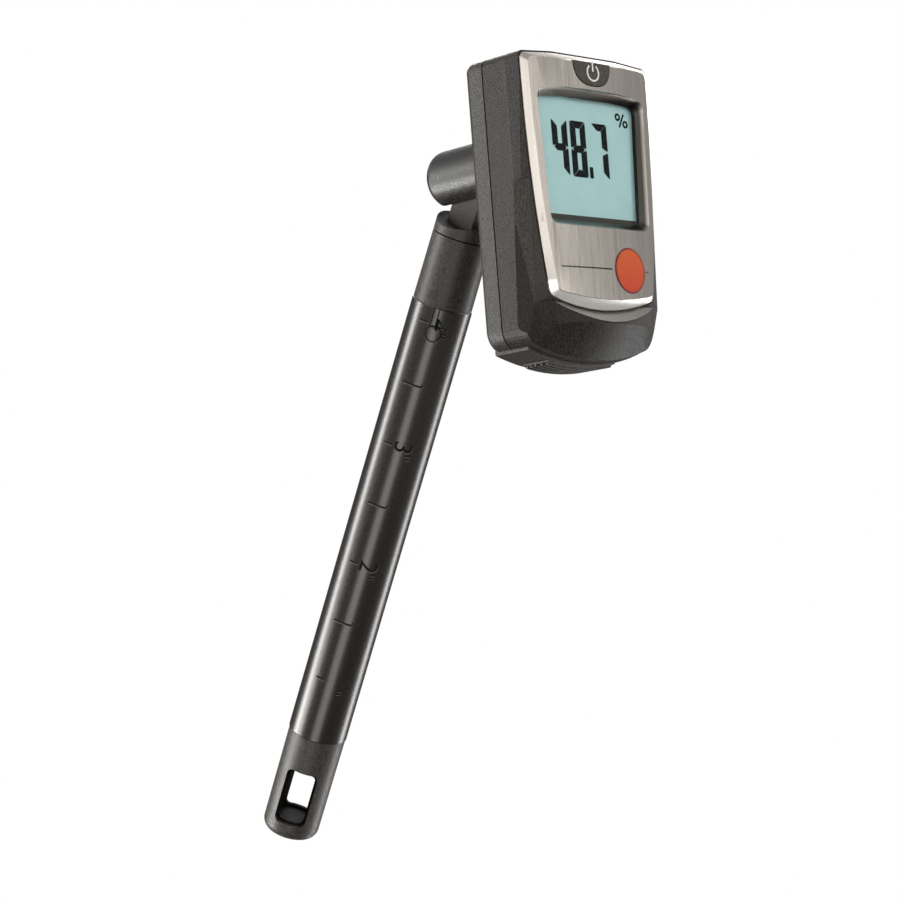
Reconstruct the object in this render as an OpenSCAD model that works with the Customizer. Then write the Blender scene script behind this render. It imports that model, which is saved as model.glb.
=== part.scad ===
// Thermo-hygrometer: a slim probe shaft with a slotted sensor cap, a knuckle that
// turns on the shaft, and a display head carried on a forked neck.
// The shaft stands along Z and the origin is at the middle of its scale sleeve.
// The head is drawn in its own frame: pivot at the origin, front towards -Y, up +Z,
// and is then tilted back by head_tilt.

/* [Pose] */
// Angle of the head to the shaft, as held for reading
head_tilt = 29.2; // [0:0.1:90]
// Angle of the sensor window about the shaft, from -X towards -Y
shaft_turn = 39; // [0:1:90]

/* [Probe shaft] */
// Diameter of the shaft
shaft_d = 12; // [11:0.1:13]
// Length of the scale sleeve
sleeve_len = 92.8; // [60:0.1:150]
// Length of the matt upper tube
upper_len = 13.5; // [11:0.1:30]
// Length of the sensor cap
cap_len = 22.7; // [20:0.1:30]
// How far the sleeve stands out from the parts above and below it
sleeve_step = 0.15; // [0.1:0.05:0.3]
// How much each moulded tube tapers over its length
mould_draft = 0.1; // [0.05:0.05:0.2]
// Chamfer on the ends of the scale sleeve, which shows as a fine seam
seam_chamfer = 0.2; // [0.1:0.05:0.3]
// Wall of the shaft's tubes
tube_wall = 1.3; // [1:0.1:1.8]
// Rounding of the cap's end
tip_round = 2.2; // [0.5:0.1:3]
// Height of the sensor window
window_h = 11.9; // [8:0.1:13]
// Width of the sensor window
window_w = 6.4; // [4.5:0.1:7]
// Distance from the cap's end to the window
window_up = 3.5; // [3:0.1:5]
// Wall of the guard that lines the sensor window
guard_wall = 0.7; // [0.5:0.1:1]

/* [Swivel] */
// Distance from the top of the upper tube to the pivot
pivot_up = 13.5; // [13:0.1:18]
// How far the neck's centre line lies below the pivot
neck_drop = 0.4; // [0:0.1:0.6]
// Diameter of the neck
neck_d = 11.2; // [10:0.1:12]
// Length of the neck beyond the pivot
neck_end = 10.9; // [8:0.1:10.9]
// Rounding of the neck's end
neck_round = 2.6; // [2:0.1:4]
// Thickness of the knuckle's tongue
tongue_t = 3.4; // [3:0.1:5]
// Thickness of each friction washer
washer_t = 0.25; // [0.2:0.05:0.4]
// Radius of the tongue's round end about the pivot
tongue_r = 3.4; // [2.8:0.1:3.6]
// Diameter of the pivot pin
pin_d = 2.5; // [2:0.1:3]
// Length of the knuckle's spigot in the upper tube
spigot_len = 8; // [6:0.5:9]
// Radius of the knuckle's saddle about the pivot, which clears the neck's end
saddle_r = 11.7; // [11.7:0.1:12.4]

/* [Head] */
// Width of the head
head_w = 34.4; // [32:0.1:40]
// Height of the head's top above the pivot
head_top = 16.5; // [15:0.1:20]
// Depth of the head's bottom below the pivot
head_bottom = 40.2; // [39:0.1:46]
// Distance from the pivot to the head's back
back_gap = 14.1; // [13:0.1:20]
// Depth of the rear shell's side
rear_depth = 4.5; // [4:0.1:6]
// Depth of the front shell's side
front_depth = 5.4; // [5:0.1:7]
// Depth of the front shell's sloping frame
frame_depth = 4; // [3:0.1:4.5]
// Wall of the shells
shell_wall = 1.5; // [1.2:0.1:2]
// Gap that shows as the seam between the shells
seam_gap = 0.3; // [0.2:0.05:0.5]
// Radius of the crown along the head's top edge
top_crown_r = 114; // [60:1:200]
// Radius of the curve along the head's bottom edge
bottom_crown_r = 45; // [35:1:80]
// Rounding of the head's upper corners
top_corner_r = 2; // [1.8:0.1:4]
// Rounding of the head's lower corners
bottom_corner_r = 4; // [3:0.1:6]
// How far the chin stands in front of the frame
chin_bulge = 2.2; // [1:0.1:3]

/* [Face panel] */
// Width of the frame beside the panel at its top
panel_edge = 0.25; // [0.2:0.05:1]
// Height of the panel's top edge above the pivot
panel_top = 15.6; // [14:0.1:16]
// Depth of the panel's lower lip below the pivot
panel_bottom = 31.3; // [29:0.1:32]
// Radius of the panel's curved sides
panel_side_r = 238; // [200:1:600]
// Thickness of the face panel at its middle
panel_t = 2.2; // [1.6:0.1:2.4]
// Width of the bevel along the panel's sides, for each millimetre of its height
panel_bevel = 1.4; // [0.8:0.1:1.6]
// Radius of the panel's crown across its width
panel_crown_r = 120; // [100:1:400]
// Width of the panel beside the top of the display recess
bezel_w = 2.35; // [2.2:0.05:4]
// How much narrower the recess is at its bottom, on each side
recess_taper = 1.2; // [0:0.1:2]
// Height of the recess's top edge above the pivot
recess_top = 8.7; // [7:0.1:8.8]
// Depth of the recess's lower edge below the pivot
recess_bottom = 16.3; // [14:0.1:17]
// Width of the recess's sloping wall
recess_slope = 1.3; // [0.8:0.1:1.6]
// Diameter of the round inlay
inlay_d = 8.4; // [6:0.1:9]
// Distance of the round inlay from the panel's middle
inlay_x = 6.2; // [4:0.1:7]

/* [Power key] */
// Width of the key
key_w = 9.8; // [7:0.1:10]
// Height of the key
key_h = 4.3; // [4:0.1:4.4]
// Travel of the key
key_travel = 0.4; // [0.2:0.05:0.6]

/* [Battery bay] */
// Diameter of a button cell
cell_d = 11.6; // [9.5:0.1:11.6]
// Thickness of a button cell
cell_t = 5.4; // [3:0.1:5.4]
// Number of button cells
cell_count = 3; // [2:1:3]
// Distance from the battery cover's ends to the head's sides
cover_inset = 2.4; // [2.2:0.1:4]
// How far the battery cover stands below the shells
cover_step = 0.5; // [0.2:0.1:0.8]
// Number of ribs on the battery cover's thumb grip
grip_ribs = 5; // [3:1:6]

/* [Hidden] */
$fn = 72;
eps = 0.01;

// Clearances
run_fit = 0.05;
slip_fit = 0.1;
free_gap = 0.3;

// Shaft levels along Z
shaft_r = shaft_d / 2;
skin_r = shaft_r - sleeve_step;
sleeve_top = sleeve_len / 2;
sleeve_end = -sleeve_len / 2;
tip_z = sleeve_end - cap_len;
collar_z = sleeve_top + upper_len;
pivot_z = collar_z + pivot_up;
bore_r = shaft_r - tube_wall;
joint_overlap = 6;
spigot_r = bore_r - slip_fit - 0.05;
thin_wall = 0.9;
window_z = tip_z + window_up;
guard_top = sleeve_end + joint_overlap + 2;
guard_end = tip_z + 2.6;
guard_r = bore_r - run_fit;

// Swivel
neck_r = neck_d / 2;
cheek_gap = tongue_t / 2 + washer_t + run_fit;
pin_r = pin_d / 2;
pin_blind = 0.9;
turn_r = bore_r - 0.15;
collar_gap = 0.25;
ring_t = 0.8;
ring_z = collar_z - spigot_len + 1;
ring_r = turn_r + 0.4;
slot_root = tongue_r + free_gap + 0.05;
horn_z = pivot_up - 9.6;

// Head levels along Y, in the head's frame
y_back = -back_gap;
y_seam = y_back - rear_depth;
y_edge = y_seam - front_depth;
y_rim = y_edge - frame_depth;
y_seat = y_rim + 0.3;
y_face = y_seat - panel_t;
y_lens = y_seat + 1;
front_wall = 1.2;
y_cavity = y_seat + front_wall;
y_lcd = y_cavity + 0.02;
lcd_t = 2;
board_t = 1;
y_board = y_lcd + lcd_t + 1.8;
y_board_back = y_board + board_t;
half_w = head_w / 2;
inner_w = half_w - shell_wall;
panel_half_w = half_w - panel_edge;
recess_half_top = panel_half_w - bezel_w;
recess_half_bottom = recess_half_top - recess_taper;
inlay_z = -24;
line_in = 4.2;
facet_tip_z = -12;
ridge_z = -29;
ridge = [half_w - 0.63, y_edge - 2.64];

// Fork root and its flange inside the rear shell
flange_w = 17;
flange_h = 15;
flange_t = 1.5;
y_flange = y_back - shell_wall;

// Screws
boss_r = 2.4;
screw_x = inner_w - boss_r - 0.5;
screw_top_z = head_top - 4.9;
screw_low_z = -21.8;
screw_spots = [for (x = [-screw_x, screw_x], z = [screw_top_z, screw_low_z]) [x, z]];
screw_r = 1.08;
screw_hole_r = 1.1;
head_r = 2;
head_h = 1.2;
screw_len = 11;

// Battery bay
bay_z = -head_bottom + cell_d / 2 + 2.1;
bay_y = y_back - shell_wall - cell_d / 2 + 0.2;
bay_half = cell_count * cell_t / 2 + 1.4;
contact_t = 0.3;
stack_half = cell_count * cell_t / 2;
bay_top = bay_z + cell_d / 2 + 0.3;
bay_wall = 1;
cover_half = half_w - cover_inset;
cover_in = 1;
cover_depth = 8.5;
tongue_half_w = 6;
door_half = bay_half + 1.2;
door_top = bay_top - 0.2;
door_t = 1.2;
grip_half = 9;
grip_up = 0.7;
bottom_c = bottom_crown_r - head_bottom;

// Points of an arc
function arc(c, r, a0, a1, n) =
    [for (i = [0:n]) c + r * [cos(a0 + (a1 - a0) * i / n), sin(a0 + (a1 - a0) * i / n)]];

function unit(v) = v / norm(v);

// The corner at b of the path a, b, c, rounded with radius r
function corner(a, b, c, r, n) =
    let (u = unit(a - b), w = unit(c - b),
         half = acos(u * w) / 2,
         m = b + unit(u + w) * (r / sin(half)),
         p = b + u * (r / tan(half)) - m,
         q = b + w * (r / tan(half)) - m,
         a0 = atan2(p.y, p.x),
         turn = atan2(q.y, q.x) - a0,
         da = turn > 180 ? turn - 360 : turn < -180 ? turn + 360 : turn)
    [for (i = [0:n]) m + r * [cos(a0 + da * i / n), sin(a0 + da * i / n)]];

// A closed path of [x, y, r] points with each corner rounded
function soft(p, n = 5) =
    [for (i = [0:len(p) - 1])
        let (k = len(p), a = p[(i + k - 1) % k], b = p[i], c = p[(i + 1) % k])
        each (b.z > 0 ? corner([a.x, a.y], [b.x, b.y], [c.x, c.y], b.z, n) : [[b.x, b.y]])];

// Outline of the housing in its front view, moved inwards by d
function housing(d = 0) =
    let (hw = half_w, rt = top_corner_r, rb = bottom_corner_r,
         ct = head_top - top_crown_r, cb = bottom_c,
         xt = hw - rt, xb = hw - rb,
         zt = ct + sqrt(pow(top_crown_r - rt, 2) - xt * xt),
         zb = cb - sqrt(pow(bottom_crown_r - rb, 2) - xb * xb),
         ft = atan2(zt - ct, xt), fb = atan2(zb - cb, xb))
    concat(
        arc([xb, zb], rb - d, fb, 0, 8),
        arc([xt, zt], rt - d, 0, ft, 6),
        arc([0, ct], top_crown_r - d, ft, 180 - ft, 10),
        arc([-xt, zt], rt - d, 180 - ft, 180, 6),
        arc([-xb, zb], rb - d, 180, 180 - fb, 8),
        arc([0, cb], bottom_crown_r - d, 180 - fb, 360 + fb, 16));

// Half width of the face panel at height z
function panel_x(z) =
    panel_half_w - panel_side_r + sqrt(pow(panel_side_r, 2) - pow(min(z - 10, 0), 2));

// Outline of the face panel, grown by s at the sides, t at the top and l at the lip
function panel_outline(s = 0, t = 0, l = 0) =
    let (top = panel_top + t, low = -panel_bottom - l,
         right = concat([[panel_x(-28) + s - 0.1, low + 2.3, 1.6]],
             [for (z = [-20.4:7.6:10]) [panel_x(z) + s, z, 0]]),
         crown = [[panel_half_w + s, top - 0.9, 1.2], [panel_half_w / 2, top - 0.2, 0],
                  [-panel_half_w / 2, top - 0.2, 0], [-panel_half_w - s, top - 0.9, 1.2]],
         left = [for (i = [len(right) - 1:-1:0]) [-right[i].x, right[i].y, right[i].z]],
         lip = [for (x = [-10.5:3.5:10.5]) [x, low + 2.3 * pow(x / 14, 2), 0]])
    soft(concat(right, crown, left, lip));

// Outline of the display recess, moved inwards by d
function recess_outline(d = 0) =
    let (wt = recess_half_top - d, wb = recess_half_bottom - d,
         top = recess_top - d, low = -recess_bottom + d)
    soft([[wb, low, 1.5], [wt, top - 0.3, 1.5], [recess_half_top / 2, top + 0.15, 0],
          [-recess_half_top / 2, top + 0.15, 0], [-wt, top - 0.3, 1.5], [-wb, low, 1.5]]);

// Outline of the power key, moved outwards by d: flat above and round below
key_top = panel_top - 1.5;
function key_outline(d = 0) =
    concat([[key_w / 2 + d, key_top + d], [-key_w / 2 - d, key_top + d]],
        [for (i = [1:23]) let (t = 180 + i * 7.5)
            [sign(cos(t)) * (key_w / 2 + d) * pow(abs(cos(t)), 0.75),
             key_top - (key_h + d) * pow(abs(sin(t)), 0.9)]]);

// Places a piece of the head in the tilted head frame
module in_head() {
    translate([0, 0, pivot_z]) rotate([-head_tilt, 0, 0]) children();
}

// Draws an XZ outline from y towards the front, t thick
module slab(y, t) {
    translate([0, y, 0]) rotate([90, 0, 0]) linear_extrude(t) children();
}

// A rod from y towards the front at [x, z]
module rod(at, y, t, r) {
    translate([at.x, y, at.y]) rotate([90, 0, 0]) cylinder(h = t, r = r);
}

// A ring sector below the head that follows its bottom curve
module bottom_band(half, y, depth, r0, r1) {
    intersection() {
        translate([0, y, bottom_c]) rotate([90, 0, 0]) difference() {
            cylinder(h = depth, r = r1, $fn = 180);
            translate([0, 0, -1]) cylinder(h = depth + 2, r = r0, $fn = 180);
        }
        translate([-half, y - depth - 1, -head_bottom - 5]) cube([2 * half, depth + 2, 14]);
    }
}

// The slot through the sensor cap, turned with the shaft
module window_slot(w, h, z, r) {
    translate([0, 0, z]) rotate([0, 0, 90 + shaft_turn]) rotate([90, 0, 0])
        translate([0, 0, -shaft_r - 1]) linear_extrude(2 * shaft_r + 2)
        polygon(soft([[w / 2, 0, r], [w / 2, h, r], [-w / 2, h, r], [-w / 2, 0, r]]));
}

module tube(z, h, r_out, r_in) {
    translate([0, 0, z]) difference() {
        cylinder(h = h, r = r_out);
        translate([0, 0, -1]) cylinder(h = h + 2, r = r_in);
    }
}

module upper_tube() {
    low = collar_z - spigot_len - 0.3;
    color("dimgray") difference() {
        union() {
            translate([0, 0, sleeve_top]) cylinder(h = upper_len, r1 = skin_r, r2 = skin_r - mould_draft);
            translate([0, 0, sleeve_top - joint_overlap]) cylinder(h = joint_overlap + eps, r = spigot_r);
        }
        translate([0, 0, sleeve_top - joint_overlap - 1])
            cylinder(h = joint_overlap + upper_len + 2, r = spigot_r - thin_wall);
        translate([0, 0, low]) cylinder(h = collar_z - low + 1, r = turn_r + run_fit);
        translate([0, 0, ring_z - 0.1]) cylinder(h = ring_t + 0.2, r = ring_r + slip_fit);
    }
}

module scale_sleeve() {
    c = seam_chamfer;
    color([0.09, 0.09, 0.09]) rotate_extrude() polygon([
        [bore_r, sleeve_end], [shaft_r - c, sleeve_end], [shaft_r, sleeve_end + c],
        [shaft_r, sleeve_top - c], [shaft_r - c, sleeve_top], [bore_r, sleeve_top]]);
}

module sensor_cap() {
    color("dimgray") difference() {
        translate([0, 0, tip_z]) rotate_extrude()
            polygon(concat([[0, 0]],
                arc([skin_r - mould_draft - tip_round, tip_round], tip_round, -90, 0, 8),
                [[skin_r, cap_len], [0, cap_len]]));
        translate([0, 0, guard_end - 0.1]) cylinder(h = cap_len, r = bore_r);
        window_slot(window_w, window_h, window_z, 1.2);
    }
}

module sensor_guard() {
    inner = guard_r - guard_wall;
    color([0.07, 0.07, 0.07]) difference() {
        translate([0, 0, guard_end]) cylinder(h = guard_top - guard_end, r = guard_r);
        translate([0, 0, guard_end + 1]) cylinder(h = guard_top - guard_end, r = inner);
        window_slot(window_w - 1.2, window_h - 1.2, window_z + 0.6, 1);
    }
}

// Carrier board from inside the sleeve to just above the window
board_w = 7.8;
board_h = 26;
board_low = window_z + window_h + 0.4;

module turned() {
    rotate([0, 0, 90 + shaft_turn]) children();
}

module sensor_board() {
    color("seagreen") turned() translate([-board_w / 2, -0.4, board_low]) cube([board_w, 0.8, board_h]);
}

module humidity_sensor() {
    color("white") turned() translate([-1.9, -1.52, board_low + 0.3]) cube([2.4, 1.1, 3.2]);
}

module temperature_sensor() {
    color("black") turned() translate([1.6, -1.2, board_low]) {
        cylinder(h = 1.6, r = 0.7);
        translate([0, 0, 1.6]) sphere(r = 0.7, $fn = 24);
        translate([-0.35, -0.2, 1.6]) cube([0.2, 1, 2.4]);
        translate([0.15, -0.2, 1.6]) cube([0.2, 1, 2.4]);
    }
}

module shaft_lead() {
    z0 = board_low + board_h - 4;
    z1 = collar_z - spigot_len - 0.3;
    color("gray") turned() translate([0, 1.1, z0]) cylinder(h = z1 - z0, r = 0.7);
}

// Profile of the tongue: a straight blade with a round end about the pivot
module tongue_profile(r, drop) {
    circle(r = r);
    translate([-r, -drop]) square([2 * r, drop]);
}

// The slightly tapered outside of the knuckle
module knuckle_skin() {
    translate([0, 0, collar_z])
        cylinder(h = pivot_up + tongue_r + 1, r1 = skin_r - mould_draft, r2 = skin_r - 2 * mould_draft);
}

module knuckle() {
    low = collar_z - spigot_len;
    color("dimgray") difference() {
        union() {
            translate([0, 0, low]) cylinder(h = spigot_len + 1, r = turn_r);
            difference() {
                intersection() {
                    knuckle_skin();
                    translate([-shaft_r, -shaft_r, collar_z + collar_gap])
                        cube([shaft_d, shaft_d, horn_z - collar_gap]);
                }
                translate([-shaft_r - 1, 0, pivot_z]) rotate([0, 90, 0])
                    cylinder(h = shaft_d + 2, r = saddle_r, $fn = 180);
            }
            intersection() {
                translate([-tongue_t / 2, 0, pivot_z]) rotate([90, 0, 90])
                    linear_extrude(tongue_t) tongue_profile(tongue_r, saddle_r + 0.8);
                knuckle_skin();
            }
        }
        translate([-shaft_r, 0, pivot_z]) rotate([0, 90, 0]) cylinder(h = shaft_d, r = pin_r + run_fit);
        tube(ring_z - 0.05, ring_t + 0.1, turn_r + 1, turn_r - 0.6);
        translate([0, 0, low - 1]) cylinder(h = spigot_len + 2, r = 1.4);
    }
}

// Snap ring that keeps the knuckle in the upper tube
module retaining_ring() {
    color("silver") tube(ring_z, ring_t, ring_r, turn_r - 0.55);
}

module friction_washers() {
    color("silver") for (s = [-1, 1])
        translate([s * (tongue_t / 2 + 0.02) - (s < 0 ? washer_t : 0), 0, pivot_z])
            rotate([0, 90, 0]) difference() {
                cylinder(h = washer_t, r = tongue_r - 0.1);
                translate([0, 0, -1]) cylinder(h = washer_t + 2, r = pin_r + slip_fit);
            }
}

// Neck with a slot for the tongue, open behind and below, and a flange in the rear shell
module neck_fork() {
    reach = back_gap + shell_wall;
    color("dimgray") in_head() difference() {
        union() {
            translate([0, neck_end, -neck_drop]) rotate([90, 0, 0]) rotate_extrude()
                polygon(concat([[0, 0]], arc([neck_r - neck_round, neck_round], neck_round, -90, 0, 6),
                    [[neck_r, neck_end + reach + eps], [0, neck_end + reach + eps]]));
            slab(y_flange, flange_t) polygon(soft([for (c = [[1, -1], [1, 1], [-1, 1], [-1, -1]])
                [c.x * flange_w / 2, c.y * flange_h / 2, 2]]));
        }
        translate([-cheek_gap, -slot_root, -neck_r - neck_drop - 1])
            cube([2 * cheek_gap, slot_root + neck_end + 2, slot_root + neck_r + neck_drop + 1]);
        translate([-neck_r + pin_blind, 0, 0]) rotate([0, 90, 0]) cylinder(h = neck_d, r = pin_r + 0.01);
        rod([0, 0], -slot_root + 1, 40, 1.5);
    }
}

module pivot_pin() {
    reach = sqrt(neck_r * neck_r - pin_r * pin_r) - 0.1;
    color("silver") in_head() translate([-neck_r + pin_blind + 0.05, 0, 0]) rotate([0, 90, 0])
        cylinder(h = neck_r - pin_blind - 0.05 + reach, r = pin_r);
}

module neck_lead() {
    color("gray") in_head() rod([0, 0], -slot_root - 0.3, -y_board_back - slot_root - 0.4, 0.9);
}

module rear_outer() {
    hull() {
        slab(y_seam + rear_depth - 1.1, rear_depth - 1.1 - seam_gap / 2) polygon(housing(0));
        slab(y_back - 0.35, 0.2) polygon(housing(0.3));
        slab(y_back, 0.2) polygon(housing(1.0));
    }
}

// Ribbed cover: a plate under both shells with a tongue in front, and a door up the back.
// With a gap it is the room that the shells leave for it, open to the rear.
module cover_body(gap) {
    back = gap > 0 ? 20 : 0;
    bottom_band(cover_half + gap, y_back + back, cover_depth + gap + back,
        bottom_crown_r - cover_in - gap, bottom_crown_r + cover_step + (gap > 0 ? 2 : 0));
    bottom_band(tongue_half_w + gap, y_back - cover_depth + 0.5, 1.3 + gap,
        bottom_crown_r - cover_in - gap, bottom_crown_r - cover_in + 0.5 + gap);
    intersection() {
        translate([-door_half - gap, y_back - door_t - gap, -head_bottom - 1])
            cube([2 * (door_half + gap), door_t + gap + back, head_bottom + 1 + door_top + gap]);
        translate([0, y_back + 20, bottom_c]) rotate([90, 0, 0])
            cylinder(h = 40, r = bottom_crown_r - cover_in / 2, $fn = 180);
    }
}

module battery_cover() {
    color("dimgray") in_head() {
        cover_body(0);
        for (i = [0:grip_ribs - 1])
            bottom_band(grip_half - 0.25 * abs(i - (grip_ribs - 1) / 2), y_back - 1.4 - i * 1.25, 0.7,
                bottom_crown_r + cover_step - 0.3, bottom_crown_r + cover_step + grip_up);
        bottom_band(grip_half, y_back - 1.2, grip_ribs * 1.25 + 0.2,
            bottom_crown_r + cover_step - 0.3, bottom_crown_r + cover_step + grip_up * 0.4);
    }
}

// The battery bay: a round-fronted pocket for the cells, open behind and below
module bay(half) {
    translate([-half, bay_y, bay_z]) rotate([0, 90, 0]) cylinder(h = 2 * half, r = cell_d / 2 + 0.3);
    translate([-half, bay_y, -head_bottom - 3]) cube([2 * half, 30, head_bottom + 3 + bay_top]);
}

module rear_shell() {
    color("dimgray") in_head() difference() {
        union() {
            difference() {
                rear_outer();
                slab(y_back - shell_wall, rear_depth) polygon(housing(shell_wall));
            }
            // Locating lip inside the seam
            difference() {
                slab(y_seam + 1.4, 2.6) polygon(housing(shell_wall / 2 + 0.05));
                slab(y_seam + 2, 4) polygon(housing(shell_wall + 0.3));
            }
            // Floor behind the battery cover's plate
            intersection() {
                slab(y_back - 0.5, rear_depth - 0.5 - seam_gap / 2) polygon(housing(shell_wall / 2));
                translate([0, y_back, bottom_c]) rotate([90, 0, 0]) difference() {
                    cylinder(h = rear_depth, r = bottom_crown_r - 0.5, $fn = 180);
                    translate([0, 0, -1]) cylinder(h = rear_depth + 2, r = bottom_crown_r - 2.3, $fn = 180);
                }
            }
            for (p = screw_spots) rod(p, y_back - 0.6, y_back - 0.6 - y_board_back - 0.05, boss_r);
        }
        cover_body(slip_fit);
        translate([-bay_half, y_back - 8, -head_bottom - 3])
            cube([2 * bay_half, 9, head_bottom + 3 + bay_top - 1.2]);
        rod([0, -neck_drop], y_back + 1, rear_depth, neck_r + slip_fit);
        for (p = screw_spots) {
            rod(p, y_back + 1, 1 + head_h + 0.12, head_r + slip_fit);
            rod(p, y_back, 12, screw_hole_r);
        }
    }
}

// Bulging wedge below the panel, curved in plan and sloping back to the bottom edge
module chin() {
    r = 31;
    module plan(z, front, w) {
        a = asin(w / r);
        translate([0, 0, z]) linear_extrude(0.1) polygon(concat(
            [[half_w, y_edge + 2], [-half_w, y_edge + 2]],
            [for (i = [0:16]) let (t = 270 - a + 2 * a * i / 16) [r * cos(t), front + r + r * sin(t)]]));
    }
    intersection() {
        difference() {
            hull() {
                plan(-30.4, y_rim - chin_bulge - 1.2, ridge.x);
                plan(-34, y_rim - chin_bulge, (ridge.x + half_w) / 2);
                plan(-37.5, y_rim + 0.3, half_w);
                plan(-head_bottom - 0.5, y_edge - 1.1, half_w);
            }
            hull() {
                slab(y_seat, 0.1) polygon(panel_outline(0.3, 0.3, 0.3));
                slab(y_seat - 4, 0.1) polygon(panel_outline(3.6, 3.6, 3.6));
            }
        }
        slab(y_edge + 2, 14) polygon(housing(0));
    }
}

// A point of the facet's plane at height z, t = 0 at the side edge and t = 1 at the ridge
function facet_at(z, t) =
    let (k = (z - ridge_z) / (facet_tip_z - ridge_z))
    [half_w, y_edge + 1.1 * (1 - k), z] + [ridge.x - half_w, ridge.y - y_edge - 1.1, 0] * t;

// What the flat facet cuts from the front shell's side: from its tip it widens towards the chin
module facet() {
    out = [8, 0, 0];
    polyhedron(
        [for (z = [-head_bottom - 5, facet_tip_z + 4])
            each [facet_at(z, 3), facet_at(z, 3) + out, facet_at(z, -2) + out, facet_at(z, -2)]],
        [[0, 1, 2, 3], [4, 5, 1, 0], [7, 6, 5, 4], [5, 6, 2, 1], [6, 7, 3, 2], [7, 4, 0, 3]]);
}

module front_outer() {
    difference() {
        union() {
            slab(y_seam - seam_gap / 2, front_depth - seam_gap / 2) polygon(housing(0));
            // The frame, whose ridge beside the panel comes forward towards the chin
            hull() {
                slab(y_edge + 0.05, 0.05) polygon(housing(0));
                slab(y_seat + 0.05, 0.05) polygon(panel_outline(panel_edge, 0.4, 0.4));
                translate([-ridge.x, ridge.y, ridge_z - 1.4]) cube([2 * ridge.x, 0.1, 1.4]);
            }
            chin();
        }
        for (s = [0, 1]) mirror([s, 0, 0]) facet();
    }
}

module front_shell() {
    color("dimgray") in_head() difference() {
        union() {
            difference() {
                front_outer();
                // Room for the display and the circuit board
                intersection() {
                    slab(y_seam + 1, y_seam + 1 - y_cavity) polygon(housing(shell_wall));
                    translate([-half_w, y_cavity - 1, bay_top + bay_wall]) cube([head_w, 30, 60]);
                }
                bay(bay_half);
                // Pockets beside the cells
                for (s = [0, 1]) mirror([s, 0, 0])
                    translate([bay_half + bay_wall, y_edge + 1.5, -head_bottom + 5.5])
                        cube([inner_w - bay_half - bay_wall, 30, bay_top + bay_wall + head_bottom - 6.5]);
            }
            for (p = screw_spots) rod(p, y_board - 0.05, y_board - y_cavity, boss_r);
        }
        // Rebate for the rear shell's lip
        difference() {
            slab(y_seam + 1, 2.4) polygon(housing(shell_wall / 2));
            slab(y_seam + 2, 4.4) polygon(housing(shell_wall + 0.35));
        }
        cover_body(slip_fit);
        // Opening for the display window
        slab(y_seat + 4, 8) polygon(recess_outline(recess_slope - 0.55));
        // Opening for the key
        slab(y_seat + 4, 8) polygon(key_outline(0.15));
        for (p = screw_spots) rod(p, y_board + 1, y_board + 1 - y_cavity - 0.3, screw_hole_r);
    }
}

// Brushed panel with a bevelled edge, a sloping recess and a crowned front
module face_panel() {
    color("silver") in_head() difference() {
        intersection() {
            hull() {
                slab(y_seat - 0.02, 0.3) polygon(panel_outline(0, 0, 0));
                slab(y_seat - 4, 0.1) polygon(panel_outline(-3.7 * panel_bevel, -3.2, -3.4));
            }
            translate([0, y_face + panel_crown_r, -60]) cylinder(h = 120, r = panel_crown_r, $fn = 360);
        }
        hull() {
            slab(y_seat + 0.1, 0.15) polygon(recess_outline(recess_slope));
            slab(y_face + 0.5, 0.1) polygon(recess_outline(0));
            slab(y_face - 1, 0.1) polygon(recess_outline(-0.5));
        }
        slab(y_seat + 1, 6) polygon(key_outline(0.15));
        inlay_place() rod([0, inlay_z], y_face + 0.9, 3, inlay_d / 2 + run_fit);
        for (s = [[line_in - panel_half_w, inlay_x - inlay_d / 2 - 0.8],
                  [inlay_x + inlay_d / 2 + 0.4, panel_half_w - line_in]])
            translate([s.x, y_face - 2, inlay_z - 0.1]) cube([s.y - s.x, 2.65, 0.25]);
    }
}

// Puts a piece at the inlay's place, square to the crowned panel
module inlay_place() {
    translate([0, y_face + panel_crown_r, 0]) rotate([0, 0, asin(inlay_x / panel_crown_r)])
        translate([0, -y_face - panel_crown_r, 0]) children();
}

module inlay_disc() {
    color("darkorange") in_head() inlay_place() rod([0, inlay_z], y_face + 0.88, 0.95, inlay_d / 2);
}

module display_window() {
    color([0.8, 0.9, 0.9, 0.4]) in_head()
        slab(y_lens, 1) polygon(recess_outline(recess_slope - 0.45));
}

module lcd_glass() {
    color([0.65, 0.77, 0.77]) in_head()
        slab(y_lcd + lcd_t, lcd_t) polygon(recess_outline(0.4));
}

module lcd_holder() {
    color("black") in_head() {
        difference() {
            slab(y_board - 0.02, 2.9) polygon(recess_outline(-0.4));
            slab(y_board + 1, 8) polygon(recess_outline(0.3));
        }
        slab(y_lcd + lcd_t + 0.5, 0.45) intersection() {
            polygon(recess_outline(0.2));
            translate([-half_w, -30]) square([head_w, 30 + recess_top - 4]);
        }
    }
}

module zebra_strip() {
    color("gray") in_head() translate([1.4 - recess_half_bottom, y_lcd + lcd_t + 0.02, recess_top - 3])
        cube([2 * recess_half_bottom - 2.8, 1.74, 1.6]);
}

module circuit_board() {
    color("seagreen") in_head() difference() {
        slab(y_board_back, board_t) intersection() {
            polygon(housing(shell_wall + 0.4));
            translate([-half_w, bay_top + bay_wall + 0.3]) square([head_w, 60]);
        }
        for (p = screw_spots) rod(p, y_board_back + 1, 4, screw_hole_r + slip_fit);
    }
}

module driver_chip() {
    color("black") in_head() translate([-5, y_board_back + 0.02, -16]) cube([10, 1.3, 8]);
}

module key_dome() {
    color("silver") in_head() translate([0, y_board - 0.02, key_top - 2]) rotate([90, 0, 0])
        cylinder(h = 0.5, r1 = 2.2, r2 = 1);
}

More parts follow.
